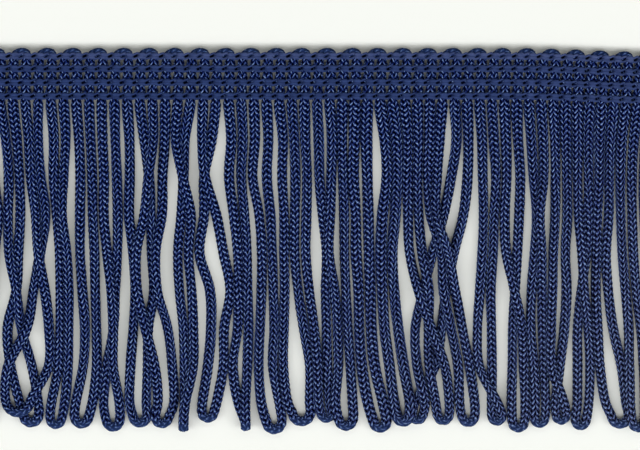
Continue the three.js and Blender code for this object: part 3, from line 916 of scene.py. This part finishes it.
def knitted_rings(line, cord, rows, rng, flatter, cut_start, cut_end):
    """Rings of points round the cord. They lean with the stitches, so their rows follow the arms."""
    ahead, across, up = framed(line)
    sizes = girth(line, ahead, across, up, cord, rows, flatter)
    along = walked(line)
    third = len(line) // 3
    start = along[0] if cut_start else along[np.argmax(line[:third, 1])]
    end = along[-1] if cut_end else along[len(line) - third + np.argmax(line[-third:, 1])]
    stitches = int(round((end - start) / cord.stitch))
    rings = stitches * STITCH_RINGS
    places = np.linspace(start, end, rings + 1)
    roll = cord.roll * wandering(rng, places, ROLL_RUN)
    swell = 1 + SWELL * wandering(rng, places, SWELL_RUN)
    leaning = 1 + LEAN_DRIFT * wandering(rng, places, ROLL_RUN)
    count = cord.wales * WALE_POINTS
    points = np.empty((rings + 1, count, 3))
    cells = (stitches + 2, WALE_ARMS * cord.wales)
    arms = rng.normal(1.0, cord.unevenness, cells)
    shifts = rng.normal(0.0, cord.unevenness * cord.stitch * ARM_STRAY, cells)
    for k in range(count):
        arm = (WALE_ARMS * k) // WALE_POINTS
        step = np.arange(rings + 1) + STAGGER_RINGS * (arm % WALE_ARMS)
        ring_relief = np.array(RING_RELIEF)[step % STITCH_RINGS]
        stitch_of = step // STITCH_RINGS
        lean = cord.lean * leaning * WALE_LEAN[k % WALE_POINTS] + shifts[stitch_of, arm]
        if cut_start:
            lean[:STITCH_RINGS] = 0.0
        if cut_end:
            lean[-STITCH_RINGS:] = 0.0
        spots = places + lean
        angle = 2 * np.pi * k / count + roll
        relief = cord.relief * (ring_relief + WALE_RELIEF[k % WALE_POINTS] * (ring_relief > 0))
        relief *= arms[stitch_of, arm] * (EDGE_RELIEF + (1 - EDGE_RELIEF) * np.abs(np.sin(angle)))
        half = taken_at(sizes, along, spots) * swell[:, None] + relief[:, None]
        sideways = taken_at(across, along, spots) * (half[:, 0] * np.cos(angle))[:, None]
        upward = taken_at(up, along, spots) * (half[:, 1] * np.sin(angle))[:, None]
        points[:, k] = taken_at(line, along, spots) + sideways + upward
    return points


class Skin:
    """Tubes gathered into one mesh, with the maps that its finish and its baking read"""

    def __init__(self, map_name, columns, rows):
        self.map_name = map_name
        self.columns = columns
        self.rows = rows
        self.points = []
        self.faces = []
        self.pattern = []
        self.bake = []
        self.cells = 0

    def tube(self, rings, across, along, strips, start=0.0):
        """Adds a tube, closed at both ends. Its bake map is cut into strips that fill one cell each.

        Across and along are the steps of its pattern from point to point, and start is where it starts.
        """
        count, around = rings.shape[:2]
        first = sum(len(part) for part in self.points)
        centres = np.stack([rings[0].mean(axis=0), rings[-1].mean(axis=0)])
        self.points += [rings.reshape(-1, 3), centres]
        i, k = np.meshgrid(np.arange(count - 1), np.arange(around), indexing="ij")
        i, k = i.ravel(), k.ravel()
        following = (k + 1) % around
        quads = np.stack([i * around + k, i * around + following, (i + 1) * around + following,
                          (i + 1) * around + k], axis=1) + first
        corner_i = np.stack([i, i, i + 1, i + 1], axis=1)
        corner_k = np.stack([k, k + 1, k + 1, k], axis=1)
        length = -(-(count - 1) // strips)
        strip = (i // length)[:, None]
        cell = self.cells + strip
        u = (corner_i - strip * length) / length
        v = corner_k / around
        self.faces += quads.tolist()
        pattern = np.stack([corner_k * across, start + corner_i * along], axis=2)
        self.pattern.append(pattern.reshape(-1, 2))
        self.bake.append(self.in_cell(cell, u, v).reshape(-1, 2))
        for centre, ring in ((0, 0), (1, count - 1)):
            self.cap(first, count * around + centre, ring, around, across, start + ring * along)
        self.cells += strips

    def cap(self, first, centre, ring, around, across, place):
        """Closes an end of the tube round its middle"""
        k = np.arange(around)
        pair = np.stack([k, (k + 1) % around], axis=1)
        if ring == 0:
            pair = pair[:, ::-1]
        fan = np.column_stack([np.full(around, centre), pair + ring * around]) + first
        self.faces += fan.tolist()
        corners = np.stack([k + 0.5, k, k + 1], axis=1)
        pattern = np.stack([corners * across, np.full(corners.shape, place)], axis=2)
        self.pattern.append(pattern.reshape(-1, 2))
        cell = np.full(corners.shape, self.cells)
        edge = np.full(corners.shape, 0.0 if ring == 0 else 1.0)
        self.bake.append(self.in_cell(cell, edge, corners / around).reshape(-1, 2))

    def in_cell(self, cell, u, v):
        """Places within one cell of the bake map, a little way in from its edges"""
        inset = 0.03
        column = cell % self.columns
        row = cell // self.columns
        x = (column + inset + (1 - 2 * inset) * u) / self.columns
        y = (row + inset + (1 - 2 * inset) * v) / self.rows
        return np.stack(np.broadcast_arrays(x, y), axis=-1)

    def piece(self, name, material, slot, node):
        """The finished piece, riding on the trim in place of its node"""
        points = drooped(np.concatenate(self.points))
        points[:, 2] = np.maximum(points[:, 2], 0.0)
        mesh = bpy.data.meshes.new(name)
        mesh.from_pydata(points.tolist(), [], self.faces)
        for map_name, corners in ((self.map_name, self.pattern), ("OFBake", self.bake)):
            layer = mesh.uv_layers.new(name=map_name)
            layer.uv.foreach_set("vector", np.concatenate(corners).astype(np.float32).ravel())
        mesh.shade_smooth()
        mesh.materials.append(material)
        piece = bpy.data.objects.new(name, mesh)
        bpy.context.scene.collection.objects.link(piece)
        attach(piece, BODY)
        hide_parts(node)
        return piece


def flat_strand(line, widths, heading):
    """Rings round a flat strand of yarn, drawn in where it turns tightly"""
    ahead, across, up = framed(line)
    along = walked(line)
    bend = np.abs((np.gradient(ahead, along, axis=0) * across).sum(axis=1))
    widths = np.minimum(widths, TIGHTEST_SHARE / np.maximum(bend, LEAST_BEND))
    angles = 2 * np.pi * np.arange(STRAND_POINTS) / STRAND_POINTS
    sideways = across[:, None, :] * (widths[:, None] * np.cos(angles)[None, :])[:, :, None]
    upward = up[:, None, :] * (np.sin(angles) * heading.thickness / 2)[None, :, None]
    return line[:, None, :] + sideways + upward


def steered(knots):
    """Knots with one more at each end, so that a curve runs straight out of them"""
    knots = np.asarray(knots, float)
    return np.concatenate([[2 * knots[0] - knots[1]], knots, [2 * knots[-1] - knots[-2]]])


def chain_stitch(leg, y, heading, rng):
    """One chain stitch: its yarn comes up between two cords, spreads and closes round the next stitch"""
    x = root_x(leg - 0.5) + heading.lead
    pitch = root_x(leg + 0.5) - root_x(leg - 0.5)
    knots = []
    for side, halves in ((1, CHAIN_STITCH), (-1, CHAIN_STITCH[-2::-1])):
        fullness = heading.fullness * rng.normal(1.0, FULLNESS_SPREAD)
        for share, aside, middle, height, width in halves:
            knots.append((x + share * pitch, y + (middle + side * aside * fullness) * MM,
                          CHAIN_BACK + height * MM, width * fullness * MM))
    line = smooth_line(steered(knots), STRAND_STEPS)
    return flat_strand(line[:, :3], line[:, 3], heading)


def back_float(y, heading):
    """The yarn behind a row: down at the first stitch, along the back and up through the last stitch"""
    left = root_x(FIRST_LEG - 0.5) + heading.lead
    right = root_x(LAST_LEG + 0.5) + heading.lead
    low = heading.thickness / 2 + FLOOR_GAP
    mid = (CORD_BACK + CHAIN_BACK) / 2
    runs = [(x, y, low) for x in np.linspace(left + LEG_PITCH, right - LEG_PITCH, FLOAT_RUNS)]
    knots = [(left, y, CHAIN_BACK), (left, y, mid), (left + TURN_UP, y, low), *runs,
             (right - TURN_UP, y, low), (right, y, mid), (right, y, CHAIN_BACK + heading.thickness)]
    line = smooth_line(steered(knots), STRAND_STEPS)
    return flat_strand(line, np.full(len(line), heading.strand / 2), heading)


class FRINGE_OT_knit_loops(bpy.types.Operator):
    """Knits the looped cord, one piece for each loop with its halves of the scallops"""

    bl_idname = "fringe.knit_loops"
    bl_label = "Knit Loops"

    def execute(self, context):
        cord = context.scene.fringe_cord
        material = knitted_cord_finish(cord)
        rows = row_places()
        plans = laid_loops(cord)
        for index, plan in enumerate(plans):
            rng = np.random.default_rng(index)
            line = piece_line(plan, cord)
            ends = (index == 0, index == len(plans) - 1)
            rings = knitted_rings(line, cord, rows, rng, plan.loop.width, *ends)
            skin = Skin("Stitch", 1, BAKE_STRIPS)
            skin.tube(rings, 1 / WALE_POINTS, 1 / STITCH_RINGS, BAKE_STRIPS)
            skin.piece(f"loop_{index + 1:02d}", material, CORD_SLOT, CORD_NODE)
        return {"FINISHED"}


class FRINGE_OT_chain_rows(bpy.types.Operator):
    """Stitches the four rows of chain that hold the cord, with the yarn behind them"""

    bl_idname = "fringe.chain_rows"
    bl_label = "Chain Rows"

    def execute(self, context):
        heading = context.scene.fringe_heading
        material = chain_yarn_finish(heading)
        for number, (node, y) in enumerate(zip(ROW_NODES, row_places())):
            rng = np.random.default_rng(number)
            skin = Skin("Strand", CHAIN_CELLS, CHAIN_CELLS)
            for leg in range(FIRST_LEG, LAST_LEG + 1):
                skin.tube(chain_stitch(leg, y, heading, rng), 1 / STRAND_POINTS, 1 / STRAND_RINGS, 1)
            skin.tube(back_float(y, heading), 1 / STRAND_POINTS, 0.0, 1, STITCH_MIDDLE)
            skin.piece(f"chain_{number + 1}", material, CHAIN_SLOT, node)
        return {"FINISHED"}


class FRINGE_OT_stage(bpy.types.Operator):
    """Sets out the pale floor, the soft light and the camera above the trim"""

    bl_idname = "fringe.stage"
    bl_label = "Stage"

    def execute(self, context):
        stage = context.scene.fringe_stage
        self.lay_floor(context, stage)
        self.hang_lights(context, stage)
        self.place_camera(context, stage)
        context.scene.view_settings.view_transform = "Standard"
        return {"FINISHED"}

    def lay_floor(self, context, stage):
        corners = [(x * FLOOR_REACH, y * FLOOR_REACH, -FLOOR_GAP)
                   for x, y in ((-1, -1), (1, -1), (1, 1), (-1, 1))]
        mesh = bpy.data.meshes.new("floor")
        mesh.from_pydata(corners, [], [(0, 1, 2, 3)])
        mesh.materials.append(floor_finish(stage))
        floor = bpy.data.objects.new("floor", mesh)
        context.scene.collection.objects.link(floor)

    def hang_lights(self, context, stage):
        for panel in LIGHTS:
            lamp = bpy.data.lights.new(panel.name, "AREA")
            lamp.shape = "RECTANGLE"
            lamp.size, lamp.size_y = panel.size
            lamp.energy = stage.key * panel.share
            light = bpy.data.objects.new(panel.name, lamp)
            light.location = panel.place
            aim = Vector(VIEW_MIDDLE) - light.location
            light.rotation_euler = aim.to_track_quat("-Z", "Y").to_euler()
            context.scene.collection.objects.link(light)
        context.scene.world = studio_world(stage)

    def place_camera(self, context, stage):
        lens = bpy.data.cameras.new("camera")
        lens.sensor_width = SENSOR_WIDTH
        lens.lens = SENSOR_WIDTH * CAMERA_HEIGHT / stage.view_width
        lens.clip_start = CAMERA_HEIGHT / CLIP_RANGE
        lens.clip_end = CAMERA_HEIGHT * CLIP_RANGE
        camera = bpy.data.objects.new("camera", lens)
        camera.location = (VIEW_MIDDLE[0], VIEW_MIDDLE[1], CAMERA_HEIGHT)
        context.scene.collection.objects.link(camera)
        context.scene.camera = camera


class FRINGE_PT_trim(bpy.types.Panel):
    """The trim's sizes, colours and steps"""

    bl_idname = "FRINGE_PT_trim"
    bl_label = "Loop Fringe Trim"
    bl_space_type = "VIEW_3D"
    bl_region_type = "UI"
    bl_category = "Trim"

    def draw(self, context):
        scene = context.scene
        steps = (
            (scene.fringe_cord, FRINGE_OT_knit_loops),
            (scene.fringe_heading, FRINGE_OT_chain_rows),
            (scene.fringe_stage, FRINGE_OT_stage),
        )
        for group, step in steps:
            box = self.layout.box()
            for name in group.bl_rna.properties.keys():
                if name not in ("rna_type", "name"):
                    box.prop(group, name)
            box.operator(step.bl_idname)


CLASSES = (
    KnittedCord,
    ChainHeading,
    TrimStage,
    FRINGE_OT_knit_loops,
    FRINGE_OT_chain_rows,
    FRINGE_OT_stage,
    FRINGE_PT_trim,
)


def register():
    for made in CLASSES:
        bpy.utils.register_class(made)
    bpy.types.Scene.fringe_cord = bpy.props.PointerProperty(type=KnittedCord)
    bpy.types.Scene.fringe_heading = bpy.props.PointerProperty(type=ChainHeading)
    bpy.types.Scene.fringe_stage = bpy.props.PointerProperty(type=TrimStage)


def unregister():
    del bpy.types.Scene.fringe_stage
    del bpy.types.Scene.fringe_heading
    del bpy.types.Scene.fringe_cord
    for made in reversed(CLASSES):
        bpy.utils.unregister_class(made)


def main():
    register()
    bpy.ops.fringe.knit_loops()
    bpy.ops.fringe.chain_rows()
    bpy.ops.fringe.stage()


if __name__ == "__main__":
    main()
